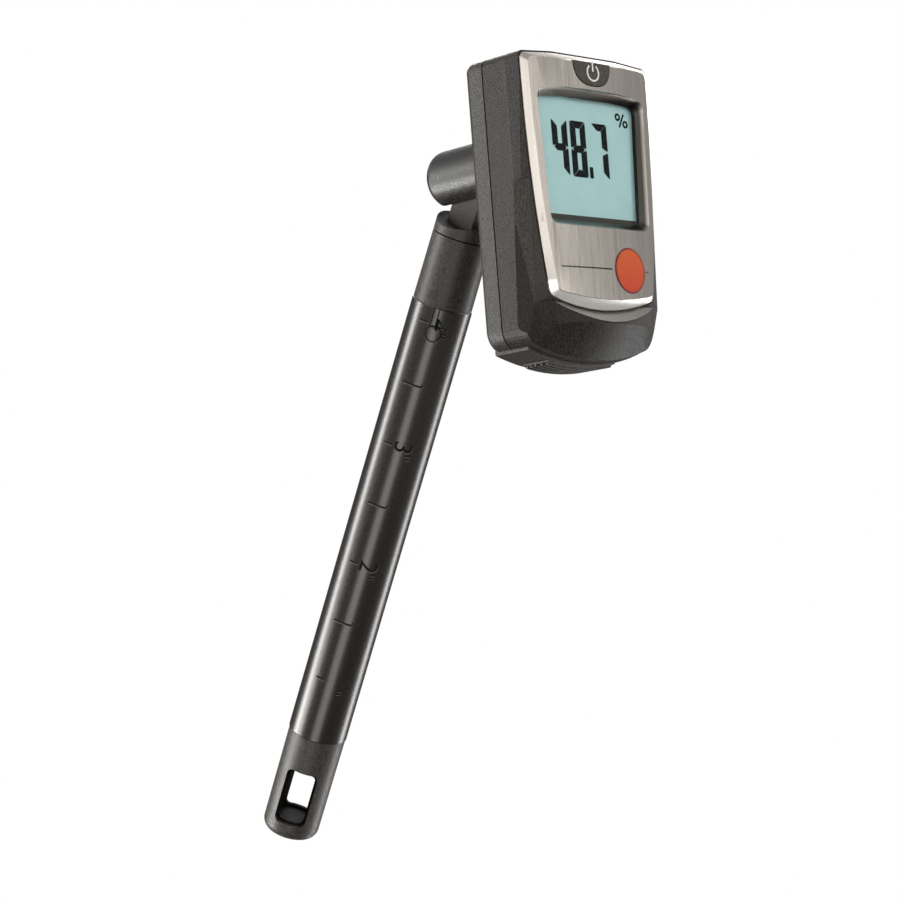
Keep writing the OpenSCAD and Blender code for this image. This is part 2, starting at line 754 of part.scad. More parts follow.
module power_key() {
    color([0.25, 0.24, 0.23]) in_head() {
        intersection() {
            slab(y_seat - 0.02, panel_t + 0.15) polygon(key_outline(0));
            translate([0, y_face - 0.15 + panel_crown_r, -60])
                cylinder(h = 120, r = panel_crown_r, $fn = 360);
        }
        slab(y_cavity + 0.1, 1.4) polygon(key_outline(-0.05));
        slab(y_cavity + 0.8, 0.75) polygon(key_outline(0.4));
        rod([0, key_top - 2], y_board - 0.5 - key_travel - 0.08, 2.2, 1.3);
    }
}

module housing_screws() {
    color("gray") in_head() for (p = screw_spots) difference() {
        union() {
            rod(p, y_back - 0.1, head_h, head_r);
            rod(p, y_back - 0.1 - head_h + eps, screw_len - head_h, screw_r);
        }
        translate([p.x - 0.25, y_back - 0.7, p.y - 1.3]) cube([0.5, 1, 2.6]);
        translate([p.x - 1.3, y_back - 0.7, p.y - 0.25]) cube([2.6, 1, 0.5]);
    }
}

module button_cells() {
    color("silver") in_head() for (i = [0:cell_count - 1])
        translate([-stack_half + i * cell_t + 0.03, bay_y, bay_z]) rotate([0, 90, 0]) {
            cylinder(h = cell_t * 0.72, r = cell_d / 2);
            cylinder(h = cell_t - 0.06, r = cell_d / 2 - 1.2);
        }
}

module battery_contacts() {
    color("goldenrod") in_head() for (s = [-1, 1]) {
        translate([s * (bay_half - contact_t / 2 - 0.02) - contact_t / 2, bay_y - 3.5, bay_z - 4])
            cube([contact_t, 7, 8]);
        translate([s * (stack_half + 0.6) - 0.56, bay_y - 1.5, bay_z - 1.5]) cube([1.12, 3, 3]);
    }
}

upper_tube();
scale_sleeve();
sensor_cap();
sensor_guard();
sensor_board();
humidity_sensor();
temperature_sensor();
shaft_lead();
knuckle();
retaining_ring();
friction_washers();
neck_fork();
pivot_pin();
neck_lead();
rear_shell();
front_shell();
face_panel();
display_window();
lcd_glass();
lcd_holder();
zebra_strip();
circuit_board();
driver_chip();
key_dome();
power_key();
inlay_disc();
housing_screws();
button_cells();
battery_contacts();
battery_cover();
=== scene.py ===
# %% [markdown]
# # A pocket thermo-hygrometer
# The instrument is a slim probe shaft with a slotted sensor cap, and a display head that tilts and
# turns on it. The solids come from the CAD model. This script gives them their finishes, softens
# the edges of the outer ones, and adds what is too fine for the solids: the digits on the display,
# the mark on the key and the scale on the shaft.

# %% Load the CAD model
import math

import bmesh
import bpy
from mathutils import Matrix, Vector


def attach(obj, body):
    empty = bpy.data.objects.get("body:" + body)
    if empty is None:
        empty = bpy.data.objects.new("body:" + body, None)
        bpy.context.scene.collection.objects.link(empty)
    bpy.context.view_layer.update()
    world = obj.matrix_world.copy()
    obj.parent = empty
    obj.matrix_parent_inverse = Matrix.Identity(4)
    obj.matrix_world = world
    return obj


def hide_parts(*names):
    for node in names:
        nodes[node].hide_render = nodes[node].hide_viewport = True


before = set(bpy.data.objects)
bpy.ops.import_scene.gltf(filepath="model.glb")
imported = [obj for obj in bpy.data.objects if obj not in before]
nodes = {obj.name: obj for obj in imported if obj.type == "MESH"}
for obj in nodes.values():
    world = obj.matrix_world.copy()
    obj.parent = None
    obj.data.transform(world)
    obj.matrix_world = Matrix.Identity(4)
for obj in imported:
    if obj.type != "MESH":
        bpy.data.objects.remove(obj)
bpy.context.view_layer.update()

# %% [markdown]
# Everything is in metres, in one frame, and the shaft stands along Z. The head is drawn in a frame
# of its own, with its origin at the pivot and its front towards -Y, and leans back by the angle
# below. Places on the head could be worked out in the main frame, but they are easier to read and
# to change in the head's own, in millimetres, so one matrix takes them from there.

# %% The head's frame
MM = 0.001
PIVOT_Z = 73.4 * MM
TILT = math.radians(29.2)
HEAD = Matrix.Translation((0, 0, PIVOT_Z)) @ Matrix.Rotation(-TILT, 4, "X")
print("the head leans back", round(math.degrees(TILT), 1), "degrees, pivot at", round(PIVOT_Z, 4), "m")

# %% [markdown]
# The camera stands to the left of the display's front, as in the photograph. It could be aimed by
# hand until the picture looks right. Here its place and turn come from matching the shaft's scale,
# the shaft's edges and the corners of the head, which is closer. A long lens keeps the shaft's two
# edges almost parallel.

# %% Camera
RIGHT = Vector((0.71272, -0.64559, 0.27431))
UP = Vector((-0.00407, 0.38725, 0.92197))
CAMERA_AT = (-0.3511, -0.3424, 0.1578)

camera_data = bpy.data.cameras.new("camera")
camera_data.sensor_width = 36.0
camera_data.lens = 104.0
camera_data.clip_start = 0.01
camera = bpy.data.objects.new("camera", camera_data)
bpy.context.scene.collection.objects.link(camera)
bpy.context.scene.camera = camera
turn = Matrix((RIGHT, UP, RIGHT.cross(UP))).transposed().to_4x4()
camera.matrix_world = Matrix.Translation(CAMERA_AT) @ turn
print("camera at", [round(v, 4) for v in camera.location])

# %% [markdown]
# ## Shader maths in Python
# A finish is a small network of nodes. It could be drawn by hand in the shader editor, or built
# with a line of code for each node and each link. Here one small class wraps a socket, so that a
# sum written in Python adds its own Math nodes, and a finish reads like the formula that it is.


# %% A socket that can be added and multiplied
class Val:
    """A shader socket that adds Math nodes when it is used in a sum."""

    def __init__(self, shader, socket):
        self.shader = shader
        self.socket = socket

    def math(self, operation, *others, clamp=False):
        """Adds one Math node, with this socket first and the others after it."""
        values = dict(enumerate((self, *others)))
        return self.shader.node("ShaderNodeMath", {"operation": operation, "use_clamp": clamp}, values)

    def __add__(self, other):
        return self.math("ADD", other)

    def __sub__(self, other):
        return self.math("SUBTRACT", other)

    def __mul__(self, other):
        return self.math("MULTIPLY", other)

    def __truediv__(self, other):
        return self.math("DIVIDE", other)

    def __rsub__(self, other):
        return self.shader.node("ShaderNodeMath", {"operation": "SUBTRACT"}, {0: other, 1: self})

    def __rtruediv__(self, other):
        return self.shader.node("ShaderNodeMath", {"operation": "DIVIDE"}, {0: other, 1: self})

    __radd__ = __add__
    __rmul__ = __mul__

    def ramp(self, low, high):
        """0 where the value is low, 1 where it is high, straight in between."""
        return ((self - low) / (high - low)).math("ADD", 0.0, clamp=True)


# %% A material and the nodes inside it
class Shader:
    """A new material, or the world's, and the nodes inside it."""

    def __init__(self, name, world=None):
        self.owner = world or bpy.data.materials.new(name)
        self.owner.use_nodes = True
        self.tree = self.owner.node_tree
        self.bsdf = self.tree.nodes.get("Principled BSDF")

    def node(self, kind, settings=None, inputs=None, out=0):
        """Adds a node, sets it up, then fills or links its inputs. out picks the output."""
        n = self.tree.nodes.new(kind)
        for key, value in (settings or {}).items():
            setattr(n, key, value)
        for key, value in (inputs or {}).items():
            self.put(n.inputs[key], value)
        return Val(self, n.outputs[out])

    def put(self, socket, value):
        """Links a wrapped socket, or writes a plain value on the socket itself."""
        if isinstance(value, Val):
            self.tree.links.new(value.socket, socket)
        else:
            socket.default_value = value

    def set(self, **inputs):
        """Fills the main shader's inputs. Underscores stand for spaces."""
        for key, value in inputs.items():
            self.put(self.bsdf.inputs[key.replace("_", " ")], value)

    def place(self, turned=False):
        """The point's place on the object. turned gives it in the head's own frame."""
        point = self.node("ShaderNodeTexCoord", out="Object")
        if turned:
            back = Matrix.Rotation(TILT, 4, "X") @ Matrix.Translation((0, 0, -PIVOT_Z))
            point = self.node("ShaderNodeMapping", None, {
                "Vector": point, "Rotation": (TILT, 0, 0), "Location": back.to_translation()})
        return point

    def axes(self, point):
        """The three parts of a point's place, in millimetres."""
        return [self.node("ShaderNodeSeparateXYZ", None, {"Vector": point}, out=axis) * (1 / MM)
                for axis in "XYZ"]

    def normal(self):
        """The way that the surface faces."""
        return self.node("ShaderNodeTexCoord", out="Normal")

    def facing(self, way):
        """How far the surface faces a direction of the head's frame, from -1 to 1."""
        return self.node("ShaderNodeVectorMath", {"operation": "DOT_PRODUCT"}, {
            0: self.normal(), 1: HEAD.to_3x3() @ Vector(way)}, out="Value")

    def noise(self, point, scale, detail=2.0, roughness=0.5):
        return self.node("ShaderNodeTexNoise", None, {
            "Vector": point, "Scale": scale, "Detail": detail, "Roughness": roughness})

    def mix(self, factor, a, b, blend="MIX"):
        return self.node("ShaderNodeMix", {"data_type": "RGBA", "blend_type": blend},
                         {0: factor, 6: a, 7: b}, out=2)

    def grey(self, shade):
        return self.node("ShaderNodeCombineColor", None, {"Red": shade, "Green": shade, "Blue": shade})

    def bump(self, height, strength, distance):
        return self.node("ShaderNodeBump", None, {
            "Height": height, "Strength": strength, "Distance": distance})


# %% Colours
def rgb(r, g, b):
    """A colour as a screen shows it, 0 to 255, made linear for Blender."""
    linear = []
    for v in (r, g, b):
        v = v / 255
        linear.append(v / 12.92 if v <= 0.04045 else ((v + 0.055) / 1.055) ** 2.4)
    return (*linear, 1.0)


print("a screen's middle grey of 128 is", round(rgb(128, 128, 128)[0], 3), "in linear light")

# %% [markdown]
# ## Studio
# The studio is a pale floor and a white world. A white world alone would light the object from all
# sides and leave it flat. So rays from the camera and through clear parts see plain white, and so
# do mirror rays that go up, which lets metal show the pale studio. For all other light the world is
# a dim even glow, and the lamps shape the object. Mirror rays that go down see the real floor: the
# black shaft leans over it, and a white floor in its gloss would turn it grey.

# %% World
WHITE = (1.0, 1.0, 1.0, 1.0)
AMBIENT = (0.27, 0.27, 0.27, 1.0)


def seen_directly(shader):
    """1 for rays from the camera and through clear parts, 0 for light that bounces."""
    camera_ray = shader.node("ShaderNodeLightPath", out="Is Camera Ray")
    return camera_ray.math("MAXIMUM", shader.node("ShaderNodeLightPath", out="Is Transmission Ray"))


world = bpy.data.worlds.new("studio")
bpy.context.scene.world = world
sky = Shader("studio", world)
mirrored = sky.node("ShaderNodeLightPath", out="Is Glossy Ray")
background = sky.tree.nodes["Background"]
sky.put(background.inputs["Color"], sky.mix(seen_directly(sky).math("MAXIMUM", mirrored), AMBIENT, WHITE))
sky.put(background.inputs["Strength"], 1.0)
print("world", world.name, "with an even glow of", AMBIENT[0])

# %% Floor
FLOOR_Z, FLOOR_SIZE = -0.45, 8
FLOOR_GREY = (0.14, 0.14, 0.14, 1)

bpy.ops.object.select_all(action="DESELECT")
bpy.ops.mesh.primitive_plane_add(size=FLOOR_SIZE, location=(0, 0, FLOOR_Z))
floor = bpy.context.object
floor.name = "floor"
paper = Shader("pale_floor")
paper.set(Base_Color=FLOOR_GREY, Roughness=0.9)
glow = paper.node("ShaderNodeEmission", None, {"Color": WHITE, "Strength": 1.0})
both = paper.node("ShaderNodeMixShader", None, {
    0: seen_directly(paper), 1: Val(paper, paper.bsdf.outputs[0]), 2: glow})
paper.put(paper.tree.nodes["Material Output"].inputs["Surface"], both)
floor.data.materials.append(paper.owner)
print("floor at", FLOOR_Z)

# %% [markdown]
# The lamps copy the photograph's look: a tall strip at the left and one at the right draw the two
# bright lines on the shaft, a dim one under the camera draws the grey line between them, and soft
# ones above light the front of the head. One more lights the silver panel, one the back, and a
# small one low at the left draws the bright band on the neck. Each could be placed by its
# coordinates, but it is easier to move one by its direction from the object, as an angle round the
# shaft and a height, and to set it by how bright it looks.

# %% Lamps
MIDDLE = Vector((0, -0.01, 0.02))


def softbox(name, around, up, distance, width, height, radiance):
    """A lamp that faces the object. around and up are its direction in degrees."""
    lamp = bpy.data.lights.new(name, "AREA")
    lamp.shape = "RECTANGLE"
    lamp.size, lamp.size_y = width, height
    lamp.energy = radiance * 4 * width * height  # an area lamp's energy for the radiance asked for
    holder = bpy.data.objects.new(name, lamp)
    bpy.context.scene.collection.objects.link(holder)
    a, e = math.radians(around), math.radians(up)
    way = Vector((math.cos(a) * math.cos(e), math.sin(a) * math.cos(e), math.sin(e)))
    holder.location = MIDDLE + way * distance
    holder.rotation_euler = (-way).to_track_quat("-Z", "Y").to_euler()
    print(name, round(lamp.energy, 2), "W")


# name, angle round the shaft, angle up, distance, width, height, radiance
softbox("strip_left", 131, -19, 0.5, 0.14, 0.68, 8)
softbox("strip_right", 340, -27, 0.5, 0.15, 0.5, 4.8)
softbox("front_low", 219, -20, 0.62, 0.26, 0.4, 1.9)
softbox("panel_light", 284, 28, 0.6, 0.3, 0.4, 2.9)
softbox("front_high", 228, 34, 0.6, 0.5, 0.4, 1.8)
softbox("back_light", 45, 14, 0.7, 0.5, 0.4, 4.0)
softbox("low_left", 145, -40, 0.5, 0.2, 0.2, 9)
bpy.context.scene.view_settings.view_transform = "Standard"

# %% [markdown]
# ## Finishes
# The housing is moulded in a warm charcoal plastic whose mould was spark-eroded, which leaves a
# fine even grain. The grain could be real relief in the mesh, but that would take millions of
# faces. So it is noise that feeds a small bump, and it goes into the colour and the roughness too.
# A noise scale counts waves in a metre, so a grain of 2700 is about 0.4 mm across.


# %% Moulded plastic
def grained_plastic(name, color, grain=2700.0, strength=0.5, roughness=0.42, gloss=0.16, paint_light=None):
    """Moulded plastic. The last argument, if given, paints shade and highlights on parts of the piece."""
    s = Shader(name)
    point = s.place()
    fine = s.noise(point, grain, 2.0, 0.6)
    cloud = s.noise(point, 220.0, 2.0)
    shade = fine.ramp(0.38, 0.62) * 0.95 + cloud.ramp(0.3, 0.7) * 0.06 + 0.5
    rough = fine.ramp(0.3, 0.7) * 0.2 + (roughness - 0.1)
    if paint_light:
        # painted shade and highlights, where the last argument gives them
        shade, rough = paint_light(s, shade, rough)
    s.set(Base_Color=s.mix(1.0, color, s.grey(shade), "MULTIPLY"), Roughness=rough,
          Normal=s.bump(fine, strength, 0.15 * MM), Specular_IOR_Level=gloss)
    return s.owner


# %% [markdown]
# Some parts of a piece look darker in the photograph than the lamps explain: the front's side
# hollows, its frame and chin, the upper side of the neck, and the saddle under it. Each could be a
# piece of its own with its own material. They belong to one moulding, though, so one material for
# each piece paints shade on these parts, found by the point's place and by the way its surface
# faces. On the front it also paints highlights on the step above the chin and on a thin line along
# the frame's edge.

# %% Painted shade and highlights on the front shell
HALF_W = 17.2                    # half the front's width
FACET_TOP = -8                   # where the facet on its side starts
HOLLOW_W = 0.63                  # how far that facet reaches inwards
HOLLOW_TIP, HOLLOW_END = -14.5, -29  # heights of the hollow's pointed top and its foot
FRAME_LINE = -24.26              # the line between the frame's front strip and its side
CHIN = (-26.5, -28.5)            # heights between which the chin's shade sets in
# the step above the chin, which gets a real clear coat and a painted highlight
LEDGE_Z, LEDGE_Y = (-24, -26), (-27.0, -27.8)


def front_painted_light(s, shade, rough):
    """Painted shade on the front's frame, chin and side hollows; painted highlights on the step and on a
    thin line along the frame's edge.
    """
    x, y, z = s.axes(s.place(turned=True))
    across = s.facing((1, 0, 0)).math("ABSOLUTE")
    out = s.facing((0, -1, 0))
    inward = (HALF_W - x.math("ABSOLUTE")) / HOLLOW_W
    below = (HOLLOW_TIP - z) / (HOLLOW_TIP - HOLLOW_END)
    # painted shade in the pointed hollows on the sides
    hollow = out.ramp(0.06, 0.13) * across.ramp(0.9, 0.96) * (below - inward).ramp(0, 0.12)
    # painted shade on what faces forward, and more on the chin
    forward = out.ramp(0.25, 0.5)
    chin = forward * z.ramp(*CHIN)
    # the step's real clear coat, and a painted highlight on it
    ledge_coat_and_highlight = s.facing((0, 0, 1)).ramp(0.45, 0.7) * z.ramp(*LEDGE_Z) * y.ramp(*LEDGE_Y)
    s.set(Coat_Weight=ledge_coat_and_highlight, Coat_Roughness=0.3)
    # painted shade on the frame's front strip
    side = across.ramp(0.975, 0.985) * z.ramp(FACET_TOP - 0.05, FACET_TOP + 0.05)
    frame_strip_shade = side * y.ramp(FRAME_LINE, FRAME_LINE - 0.15)
    # painted highlight: a thin lighter line along the frame's edge
    line = side * (y - FRAME_LINE).math("ABSOLUTE").ramp(0.16, 0.06)
    # all the painted shade together, then the painted highlights
    darker = (1 - hollow * 0.8) * (1 - forward * 0.22) * (1 - chin * 0.4) * (1 - frame_strip_shade * 0.6)
    return shade * darker * (1 + ledge_coat_and_highlight * 4 + line * 0.8), rough


# %% Painted shade on the neck and the knuckle
SADDLE_R = 11.7                  # radius of the hollow that gives the neck's end room
TONGUE_HALF = 1.7                # half the thickness of the tongue


def neck_painted_shade(s, shade, rough):
    """Painted shade on the neck's upper side, which is also duller than its lower side."""
    up = s.node("ShaderNodeSeparateXYZ", None, {"Vector": s.normal()}, out="Z").ramp(-0.05, 0.45)
    return shade * (1 - up * 0.8), rough + up * 0.3


def saddle_painted_shade(s, shade, rough):
    """Painted shade: dark in the hollow under the neck, and a little on the tongue's flat sides there."""
    x, y, z = s.axes(s.place())
    above = z - PIVOT_Z / MM
    saddle_shade = (y * y + above * above).math("SQRT").ramp(SADDLE_R + 0.12, SADDLE_R + 0.02)
    blade = x.math("ABSOLUTE").ramp(TONGUE_HALF + 0.15, TONGUE_HALF + 0.02)
    return shade * (1 - saddle_shade * (0.95 - blade * 0.6)), rough + saddle_shade * 0.2


# %% The moulded pieces' plastics
charcoal_dark, charcoal_warm = rgb(46, 42, 37), rgb(52, 48, 43)
front_charcoal_painted_light = grained_plastic("charcoal_plastic", charcoal_dark, paint_light=front_painted_light)
charcoal = grained_plastic("charcoal_rear", rgb(51, 47, 42), gloss=0.28)
neck_plastic_painted_shade = grained_plastic(
    "neck_plastic_painted_shade", rgb(42, 39, 35), grain=2600.0, strength=0.1, roughness=0.36, gloss=0.42, paint_light=neck_painted_shade)
probe_plastic = grained_plastic(
    "probe_plastic", charcoal_warm, grain=2600.0, strength=0.2, roughness=0.44, gloss=0.42)
knuckle_plastic_painted_shade = grained_plastic(
    "knuckle_plastic_painted_shade", charcoal_warm, grain=2600.0, strength=0.2, roughness=0.44, gloss=0.42,
    paint_light=saddle_painted_shade)
key_plastic = grained_plastic("key_plastic", rgb(64, 60, 54), grain=3600.0, strength=0.2, roughness=0.42)
print("materials so far", len(bpy.data.materials))

# %% [markdown]
# The sleeve with the scale is a polished black tube, and its look is nearly all reflection. A
# perfect mirror would look drawn by a computer. A slow wave in the bump bends the bright lines a
# little, as on a drawn tube, and fine dust in the roughness softens them.


# %% Gloss plastic
def gloss_plastic(name, color, roughness):
    """Smooth plastic with the faint waviness of a drawn tube."""
    s = Shader(name)
    wave = s.noise(s.place(), 160.0, 1.0)
    dust = s.noise(s.place(), 9000.0, 2.0)
    s.set(Base_Color=color, Roughness=dust.ramp(0.35, 0.75) * 0.12 + roughness,
          Normal=s.bump(wave, 0.06, 0.2 * MM),
          Specular_IOR_Level=1.0, Specular_Tint=(1.0, 0.96, 0.92, 1.0))
    return s.owner


sleeve_black = gloss_plastic("black_gloss", rgb(13, 12, 10), 0.24)
print("gloss", sleeve_black.name)

# %% [markdown]
# The face panel is satin silver, brushed along its height, with a crowned front. Its recess has
# sloping walls with painted shade, darkest at the right and at the foot, a dark groove runs across
# it, and its lower lip has a painted highlight. The face has painted shade towards its right. These
# places could be painted by hand on a map. The depth of a point behind the crown tells them apart,
# so the material finds them itself. The grain is noise that is stretched along the panel's height.

# %% Satin silver
Y_FACE, CROWN_R = -29.9, 120.0   # the panel's front at its middle, and the radius of its crown
RECESS_W, RECESS_LOW, RECESS_HIGH = 13.9, -14.6, 9.6  # half the recess's width, its foot and top
GROOVE_Z, GROOVE_ENDS = -24.0, (13.2, 12.9)
# the heights below set where the painted highlight on the lip begins
LIP_Z = (-26.3, -26.9)           # heights between which the bright lip sets in
FACE_SILVER, LIP_PAINTED_HIGHLIGHT = rgb(149, 143, 136), rgb(250, 247, 242)
# painted shade: lit and shaded colours for the recess walls, both darker than the face
WALL_LIT, WALL_SHADED, GROOVE_DARK = rgb(92, 87, 81), rgb(52, 50, 46), rgb(20, 18, 17)


def satin_silver(name):
    """Brushed silver with painted shade on the recess walls and towards the right, a dark groove, and a
    painted highlight on the lip.
    """
    s = Shader(name)
    point = s.place(turned=True)
    x, y, z = s.axes(point)
    crown = x * x * (0.5 / CROWN_R) + Y_FACE
    depth = y - crown
    sunk = depth.ramp(0.15, 0.7) * x.math("ABSOLUTE").ramp(RECESS_W + 1.3, RECESS_W + 1)
    sunk = sunk * z.ramp(RECESS_LOW - 1.6, RECESS_LOW - 1.2) * z.ramp(RECESS_HIGH + 1.6, RECESS_HIGH + 1.2)
    groove = (z - GROOVE_Z).math("ABSOLUTE").ramp(0.16, 0.11) * depth.ramp(0.05, 0.12)
    groove = groove * x.math("ABSOLUTE").ramp(*GROOVE_ENDS)
    # painted highlight: the lower lip gets a near-white silver
    lip = depth.ramp(0.06, 0.12) * z.ramp(*LIP_Z)
    stretched = s.node("ShaderNodeMapping", None, {"Vector": point, "Scale": (1.0, 1.0, 0.04)})
    grain = s.noise(stretched, 3600.0, 2.0, 0.6)
    broad = s.noise(stretched, 700.0, 1.0)
    speck = s.noise(point, 2600.0, 2.0)
    tone = grain.ramp(0.25, 0.75) * 0.2 + broad.ramp(0.3, 0.7) * 0.1 + speck.ramp(0.3, 0.7) * 0.1 + 0.8
    # painted shade: the face darkens towards its right side
    tone = tone * (1 - x.ramp(-3, 13) * 0.3)
    face = s.mix(1.0, FACE_SILVER, s.grey(tone), "MULTIPLY")
    # painted shade: the recess walls take the shaded colour at the right and at the foot
    shaded = x.ramp(11, 12.5).math("MAXIMUM", z.ramp(RECESS_LOW + 0.5, RECESS_LOW - 0.1))
    inner = s.mix(sunk, face, s.mix(shaded, WALL_LIT, WALL_SHADED))
    cut = s.mix(lip, inner, LIP_PAINTED_HIGHLIGHT)
    s.set(Base_Color=s.mix(groove, cut, GROOVE_DARK), Metallic=1 - groove,
          Roughness=grain.ramp(0.2, 0.8) * 0.14 + 0.24 + lip * 0.2,
          Normal=s.bump(grain, 0.15, 0.04 * MM))
    return s.owner


silver = satin_silver("satin_silver")
print("panel", silver.name, "with", len(silver.node_tree.nodes), "nodes")

# %% [markdown]
# The small finishes are plain ones whose tone and gloss vary a little, because no real surface is
# one flat colour. The guard that lines the sensor window is matt, so it doesn't mirror the studio
# behind the window. The display's window is almost clear, with a faint smear that catches light.


# %% Small finishes
def plain(name, color, roughness, metallic=0.0, grain=3000.0, amount=0.12, gloss=0.5):
    """A plain finish whose tone and gloss vary a little over the surface."""
    s = Shader(name)
    spot = s.noise(s.place(), grain, 3.0)
    cloud = s.noise(s.place(), 180.0, 2.0)
    shade = cloud.ramp(0.3, 0.7) * 0.05 + spot.ramp(0.3, 0.7) * 0.03 + 0.96
    s.set(Base_Color=s.mix(1.0, color, s.grey(shade), "MULTIPLY"),
          Roughness=spot.ramp(0.3, 0.7) * amount + roughness,
          Metallic=metallic, Specular_IOR_Level=gloss)
    return s.owner


def clear_window(name):
    """Clear plastic with a faint smear."""
    s = Shader(name)
    smear = s.noise(s.place(), 240.0, 2.0)
    s.set(Base_Color=(0.05, 0.06, 0.06, 1), Roughness=smear.ramp(0.3, 0.7) * 0.03 + 0.03,
          Alpha=smear.ramp(0.2, 0.9) * 0.02 + 0.03)
    return s.owner


window_plastic = clear_window("clear_window")
lcd = plain("lcd_pale", rgb(171, 208, 206), 0.5, grain=900.0, gloss=0.2)
board_green = plain("circuit_green", rgb(44, 104, 62), 0.4)
matt_black = plain("black_matte", rgb(26, 26, 26), 0.6)
guard_black = plain("guard_matte", rgb(20, 19, 18), 0.6, gloss=0.04)
rubber = plain("contact_rubber", rgb(52, 52, 56), 0.7)
white = plain("sensor_white", rgb(226, 226, 222), 0.55)
lead = plain("lead_grey", rgb(96, 96, 98), 0.6)
steel = plain("plain_steel", rgb(186, 186, 184), 0.25, metallic=1.0, amount=0.2)
nickel = plain("cell_steel", rgb(214, 212, 208), 0.15, metallic=1.0, amount=0.15)
brass = plain("contact_brass", rgb(206, 170, 96), 0.25, metallic=1.0, amount=0.2)
print("materials so far", len(bpy.data.materials))

# %% [markdown]
# The round disc below the display is an orange inlay. Its tone grows lighter towards its top, and
# its edge is a thin darker rim. The rim could be a ring of its own, but it is only printed, so the
# material draws it by the distance from the disc's middle, which lies at the groove's height.

# %% Orange inlay
INLAY_X, INLAY_RIM = 6.2, (3.7, 4.1)


def inlay(name):
    """An orange printed disc with a thin darker rim."""
    s = Shader(name)
    point = s.place(turned=True)
    away = s.node("ShaderNodeVectorMath", {"operation": "MULTIPLY"}, {
        0: s.node("ShaderNodeVectorMath", {"operation": "SUBTRACT"}, {
            0: point, 1: (INLAY_X * MM, 0, GROOVE_Z * MM)}), 1: (1, 0, 1)})
    radius = s.node("ShaderNodeVectorMath", {"operation": "LENGTH"}, {0: away}, out="Value") * (1 / MM)
    spot = s.noise(point, 1400.0, 2.0)
    height = s.axes(point)[2].ramp(GROOVE_Z - 4, GROOVE_Z + 4)
    tone = s.mix(height * 0.9 + spot * 0.1, rgb(182, 52, 20), rgb(192, 84, 28))
    s.set(Base_Color=s.mix(radius.ramp(*INLAY_RIM), tone, rgb(110, 32, 16)),
          Roughness=spot.ramp(0.3, 0.7) * 0.02 + 0.3, Specular_IOR_Level=0.3)
    return s.owner


orange = inlay("orange_inlay")
print("inlay", orange.name)

# %% [markdown]
# Each solid of the CAD model now gets its finish. This could be a line for each, but a table shows
# at a glance which pieces share one, and a loop then leaves none out.

# %% A finish for each solid
finishes = {
    "upper_tube": probe_plastic, "scale_sleeve": sleeve_black, "sensor_cap": probe_plastic,
    "sensor_guard": guard_black, "sensor_board": board_green, "humidity_sensor": white,
    "temperature_sensor": matt_black, "shaft_lead": lead, "knuckle": knuckle_plastic_painted_shade,
    "retaining_ring": steel, "friction_washers": steel, "neck_fork": neck_plastic_painted_shade,
    "pivot_pin": steel, "neck_lead": lead, "rear_shell": charcoal, "front_shell": front_charcoal_painted_light,
    "face_panel": silver, "display_window": window_plastic, "lcd_glass": lcd,
    "lcd_holder": matt_black, "zebra_strip": rubber, "circuit_board": board_green,
    "driver_chip": matt_black, "key_dome": steel, "power_key": key_plastic, "inlay_disc": orange,
    "housing_screws": steel, "button_cells": nickel, "battery_contacts": brass,
    "battery_cover": charcoal}
for name, material in finishes.items():
    nodes[name].data.materials.clear()
    nodes[name].data.materials.append(material)
print(len(finishes), "of", len(nodes), "solids have a finish")

# %% [markdown]
# ## Softer edges
# A moulded part has no knife edges, and its curves are smooth. The edges could be rounded in the
# CAD model, but a tenth of a millimetre there would only add thousands of faces. The CAD meshes are
# loose triangles that carry stored normals. So each outer part is copied, the copy's stored normals
# are cleared, its triangles are merged and its flat faces joined, and a small bevel rounds the
# sharp edges. The copy then stands in for the solid at the same place.

# %% Rounded copies of the outer parts
TOUCHING = 1e-6                  # points closer than this, in metres, are one
FLAT = math.radians(0.05)        # faces that meet at less are one face
CREASE = math.radians(45)        # edges that are sharper get the bevel


def softened(node, body, name, edge, sharp=14):
    """A copy of a CAD node with its sharp edges rounded by edge millimetres and its curves smooth."""
    bpy.ops.object.select_all(action="DESELECT")
    nodes[node].select_set(True)
    bpy.context.view_layer.objects.active = nodes[node]
    bpy.ops.object.duplicate()
    copy = bpy.context.object
    bpy.ops.mesh.customdata_custom_splitnormals_clear()
    bpy.ops.object.mode_set(mode="EDIT")
    bpy.ops.mesh.select_all(action="SELECT")
    bpy.ops.mesh.remove_doubles(threshold=TOUCHING)
    bpy.ops.mesh.select_all(action="SELECT")
    bpy.ops.mesh.dissolve_limited(angle_limit=FLAT)
    bpy.ops.object.mode_set(mode="OBJECT")
    round_off = copy.modifiers.new("round_off", "BEVEL")
    round_off.width = edge * MM
    round_off.segments = 2
    round_off.limit_method = "ANGLE"
    round_off.angle_limit = CREASE
    round_off.use_clamp_overlap = True
    bpy.ops.object.modifier_apply(modifier="round_off")
    bpy.ops.object.shade_smooth_by_angle(angle=math.radians(sharp))
    copy.name = name
    copy.data.name = name
    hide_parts(node)
    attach(copy, body)
    print(name, len(copy.data.polygons), "faces")


softened("front_shell", "head", "housing_front", 0.2, sharp=8)
softened("rear_shell", "head", "housing_rear", 0.2)
softened("face_panel", "head", "silver_face", 0.15)
softened("battery_cover", "cover", "cell_cover", 0.12)
softened("power_key", "key", "key_cap", 0.1)

# %% [markdown]
# ## The display's digits
# A liquid crystal digit has seven bars with cut ends, and a digit is the set of bars that are dark.
# The digits could be text, but no common font has these bars. So one bar is modelled, and each dark
# bar is a copy of it, turned and moved. They lie on the display's glass, just under the clear
# window. One more bar is the decimal point, and one is a grey sheet at the display's foot that
# paints the shadow of the recess's lower wall.

# %% Helpers for small pieces
Y_LCD = -26.48                   # the front of the display's glass
Y_INK = Y_LCD - 0.03             # where its dark bars stand


